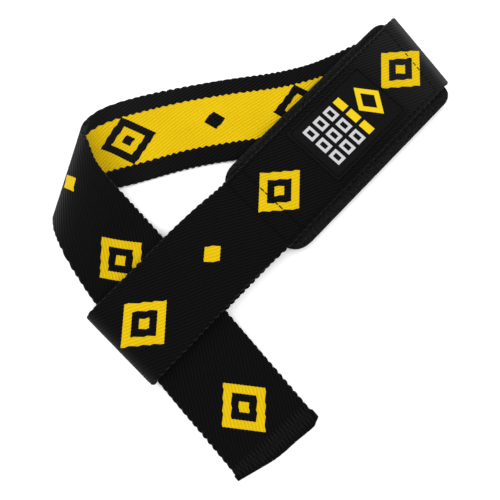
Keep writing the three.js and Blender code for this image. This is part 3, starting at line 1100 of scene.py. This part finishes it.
@dataclass
class Label(SoftPatch):
    """Woven patch sewn on top of the label leg."""

    rounding: float = 0.35
    steps: tuple[float, ...] = (0.0, 0.04, 0.12, 0.24, 0.35, 0.6)

    def build(self) -> bpy.types.Object:
        piece = self.grid().to_object("label_patch", [LabelFinish().build()])
        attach(piece, "root")
        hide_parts("label")
        return piece


@dataclass
class Seams:
    """Stitches of the strap: short thread capsules laid on the cloth, sizes in millimetres."""

    route: StrapRoute
    thread: float = 0.5
    around: int = 6
    sections: int = 5
    tip: float = 0.06
    bow: float = 0.25
    shown: float = 0.94
    stitch: float = 2.6
    edge_inset: float = 1.7
    cross_seams: tuple[Pair, ...] = ((1.8, 1.2), (10.2, 9.6))
    fold_clearance: float = 5.2
    side_seam_ends: Pair = (2.0, 5.0)
    label_stitch: float = 2.0
    label_inset: float = 1.2
    label_rise: float = 0.95
    bar_stitches: int = 46
    bar_reach: float = 0.93
    bar_jitter: float = 0.005
    bar_lines: Pair = (7.0, 0.9)
    bar_rise: float = 0.02
    end_colour: Colour = (0.0030, 0.0030, 0.0031)
    # Ply-crest colour of the end thread, a painted highlight.
    end_ply_highlight: Colour = (0.014, 0.014, 0.0145)

    def capsules(self, start: np.ndarray, stop: np.ndarray, square: np.ndarray, kind: np.ndarray) -> GridMesh:
        """Thread capsules between points: radius times the root of 1 less the fourth power along each.

        Args:
            start: Start of each stitch.
            stop: End of each stitch.
            square: Direction out of the cloth at each stitch.
            kind: Number of each stitch's material.

        Returns:
            All capsules as one set of arrays.
        """
        along = stop - start
        way = unit(along)
        aside = unit(np.cross(square, way))
        up = np.cross(way, aside)
        share = np.linspace(-1, 1, self.sections)
        radius = self.thread / 2 * np.sqrt(np.maximum(1 - share ** 4, self.tip))
        bow = self.thread * self.bow * (1 - share ** 2)
        turn = np.linspace(0, TURN, self.around, endpoint=False)
        centre = (start + stop)[:, None] / 2 + along[:, None] * share[None, :, None] / 2
        centre = centre + up[:, None] * bow[None, :, None]
        rim = (aside[:, None, None] * np.cos(turn)[None, None, :, None]
               + up[:, None, None] * np.sin(turn)[None, None, :, None])
        points = centre[:, :, None] + rim * radius[None, :, None, None]
        base = np.arange(len(start))[:, None] * self.sections * self.around
        quads = (ring_faces(self.sections, self.around)[None] + base[..., None]).reshape(-1, 4)
        first, last = (ring[None] + base for ring in end_faces(self.sections, self.around))
        length = np.linalg.norm(along, axis=1)[:, None, None]
        cloth = np.stack(np.broadcast_arrays(length * share[None, :, None], turn / TURN), axis=-1)
        slots = np.concatenate([np.repeat(kind, (self.sections - 1) * self.around), kind, kind])
        return GridMesh(points, [*quads, *first, *last], cloth, slots)

    def on_webbing(self, path: Sequence[Pair], stitch: float, above: float = 0.0) -> tuple[np.ndarray, ...]:
        """Cuts a path on the webbing's face into stitches.

        Args:
            path: Corner points as distance along the label leg from the eye and distance across.
            stitch: Length from one stitch to the next.
            above: Extra height over the face.

        Returns:
            Start points, end points and directions out of the cloth.
        """
        corners = np.array(path)
        total = np.concatenate([[0], np.cumsum(np.linalg.norm(np.diff(corners, axis=0), axis=1))])
        count = max(int(total[-1] / stitch), 1)
        begin = (np.arange(count) + (1 - self.shown) / 2) * total[-1] / count
        ends = []
        for where in (begin, begin + self.shown * total[-1] / count):
            flat = np.stack([np.interp(where, total, corners[:, k]) for k in (0, 1)], axis=-1)
            ends.append(self.raise_to(flat, above))
        return ends[0], ends[1], np.tile([0.0, 0.0, 1.0], (count, 1))

    def raise_to(self, flat: np.ndarray, above: float) -> np.ndarray:
        """Puts points given along and across the label leg on the top of its cloth."""
        s = self.route.sizes
        points = self.route.on_leg(flat)
        points[:, 2] = s.leg_level + s.thick / 2 + above
        return points

    def build(self) -> bpy.types.Object:
        """Makes all stitches as one joined piece.

        Returns:
            The seams' object.
        """
        s = self.route.sizes
        start = s.pad_span[0]
        lean = math.tan(math.radians(s.fold_slant))
        edge = s.width / 2 - self.edge_inset
        before = s.label_leg - self.fold_clearance
        paths = [[(start + high, edge), (start + low, -edge)] for high, low in self.cross_seams]
        paths.append([(before + edge * lean, edge), (before - edge * lean, -edge)])
        first, last = start + self.side_seam_ends[0], s.label_leg - self.side_seam_ends[1]
        paths += [[(first, side), (last + side * lean, side)] for side in (edge, -edge)]
        sets = [self.on_webbing(path, self.stitch) for path in paths]
        x0, x1 = (s.label_from_eye + k * (s.label_length / 2 - self.label_inset) for k in (-1, 1))
        y = s.label_width / 2 - self.label_inset
        rim = [(x0, -y), (x1, -y), (x1, y), (x0, y), (x0, -y)]
        sets.append(self.on_webbing(rim, self.label_stitch, self.label_rise))
        sets.append(self._end_bars())
        begin, end, square = (np.concatenate(parts) for parts in zip(*sets))
        kind = (np.arange(len(begin)) >= len(begin) - self.bar_stitches).astype(int)
        end_thread = ThreadFinish("end_thread", self.end_colour, self.end_ply_highlight)
        threads = [ThreadFinish().build(), end_thread.build()]
        piece = self.capsules(begin, end, square, kind).to_object("seam_stitches", threads)
        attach(piece, "root")
        return piece

    def _end_bars(self) -> tuple[np.ndarray, ...]:
        """Zigzag over the free end: stitches run slanted from one line across to the other and back."""
        route, points = self.route, self.bar_stitches + 1
        across = (np.linspace(-self.bar_reach, self.bar_reach, points)
                  + np.random.default_rng(5).normal(0, self.bar_jitter, points))
        inner, outer = (route.length - back for back in self.bar_lines)
        run = np.where(np.arange(points) % 2 == 0, inner, outer)
        place = route.places_for(run)
        along, square = route.frames(place, across)
        ends = (route.surface(place, across) + square * (route.sizes.thick / 2 + self.bar_rise)
                + along * route.end_reach(run, across)[:, None])
        return ends[:-1], ends[1:], square[:-1]


@dataclass(frozen=True)
class Studio:
    """Pale floor, soft lights and the camera above the strap, in metres, millimetres of lens and degrees."""

    aim: Pair
    lens: float = 40.0
    sensor: float = 36.0
    distance: float = 0.230
    tilt: float = 12.0
    floor_reach: float = 3.0
    floor_colour: Colour = (0.93, 0.93, 0.93)
    floor_roughness: float = 0.9
    world: float = 0.75
    lights: tuple[tuple[str, Place, float, float], ...] = (
        ("key", (-0.9, 0.3, 0.7), 0.8, 9.4),
        ("fill", (0.8, -0.4, 0.9), 0.9, 7.5),
        ("top", (0.0, 0.1, 1.3), 1.2, 6.9),
    )

    def build(self) -> None:
        """Makes floor, lights, world and camera, and shows colours plainly."""
        bpy.context.scene.view_settings.view_transform = "Standard"
        self._floor()
        self._lights()
        self._camera()

    def _floor(self) -> None:
        """Plain floor, marked as stage."""
        mesh = bpy.data.meshes.new("floor")
        reach = self.floor_reach
        mesh.from_pydata([(-reach, -reach, 0), (reach, -reach, 0), (reach, reach, 0), (-reach, reach, 0)], [],
                         [(0, 1, 2, 3)])
        material = bpy.data.materials.new("floor_paper")
        material.use_nodes = True
        shader = material.node_tree.nodes["Principled BSDF"]
        shader.inputs["Base Color"].default_value = (*self.floor_colour, 1.0)
        shader.inputs["Roughness"].default_value = self.floor_roughness
        mesh.materials.append(material)
        floor = put("floor", mesh)
        floor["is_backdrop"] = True

    def _lights(self) -> None:
        """Large soft lights by name, place, size and power, and an even pale world."""
        for name, place, size, power in self.lights:
            data = bpy.data.lights.new(name, "AREA")
            data.size = size
            data.energy = power
            light = put(name, data)
            light.location = place
            light.rotation_mode = "QUATERNION"
            light.rotation_quaternion = Vector(place).to_track_quat("Z", "Y")
        world = bpy.data.worlds.new("studio")
        world.use_nodes = True
        background = world.node_tree.nodes["Background"]
        background.inputs["Color"].default_value = (1, 1, 1, 1)
        background.inputs["Strength"].default_value = self.world
        bpy.context.scene.world = world

    def _camera(self) -> None:
        """Camera that looks down, tilted a little toward the far side."""
        data = bpy.data.cameras.new("camera")
        data.lens = self.lens
        data.sensor_width = self.sensor
        data.clip_start, data.clip_end = 0.01, 20.0
        camera = put("camera", data)
        tilt = math.radians(self.tilt)
        back, up = self.distance * math.sin(tilt), self.distance * math.cos(tilt)
        camera.location = (self.aim[0], self.aim[1] - back, up)
        camera.rotation_euler = (tilt, 0.0, 0.0)
        bpy.context.scene.camera = camera


def corners() -> list[list[float]]:
    """Gives the shown object's box as two plain lists."""
    return [[float(value) for value in corner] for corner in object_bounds()]


def pad_shape(sizes: StrapSizes, corner: Corners, aside: float) -> PatchShape:
    """Gives the pad's outline along the label leg, with a cut for each corner, moved aside by a distance."""
    slants = sizes.pad_start_slant, sizes.pad_end_slant
    return PatchShape(*sizes.pad_span, sizes.pad_width, corner, *slants, aside)


def aligned_route() -> StrapRoute:
    """Route whose origin is moved so that the pad, as modelled in CAD, lies in the middle of its box.

    Returns:
        The strap's route in the frame's own place.
    """
    route = StrapRoute()
    low, high = (np.array(corner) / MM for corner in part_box("wrist_pad"))
    outline, _ = pad_shape(route.sizes, (route.sizes.pad_corner,) * 4, 0.0).outline()
    plan = route.on_leg(outline)
    route.origin = (plan.min(axis=0) + plan.max(axis=0)) / 2 - (low + high) / 2
    route.origin[2] = 0.0
    return route


def main() -> None:
    """Builds every piece in order and reports it."""
    logging.basicConfig(level=logging.INFO, format="%(name)s: %(message)s")
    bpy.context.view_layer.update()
    route = aligned_route()
    s, shown = route.sizes, route.shown
    log.info("route origin %s, cloth length %.1f mm", np.round(route.origin, 2), route.length)
    aim = (np.array(CAMERA_AIM) - route.origin[:2]) * MM
    Studio(tuple(aim.tolist())).build()
    pad = WristPad(route, pad_shape(s, shown.pad_corners, shown.pad_aside), s.thick + s.gap, s.pad_thick)
    label_shape = PatchShape(s.label_from_eye - s.label_length / 2, s.label_from_eye + s.label_length / 2,
                             s.label_width, (s.label_corner,) * 4)
    label = Label(route, label_shape, s.leg_level + s.thick / 2 + shown.label_rise, s.label_thick)
    for builder in (Webbing(route), pad, label, Seams(route)):
        piece = builder.build()
        log.info("%s: %d faces", piece.name, len(piece.data.polygons))


if __name__ == "__main__":
    main()
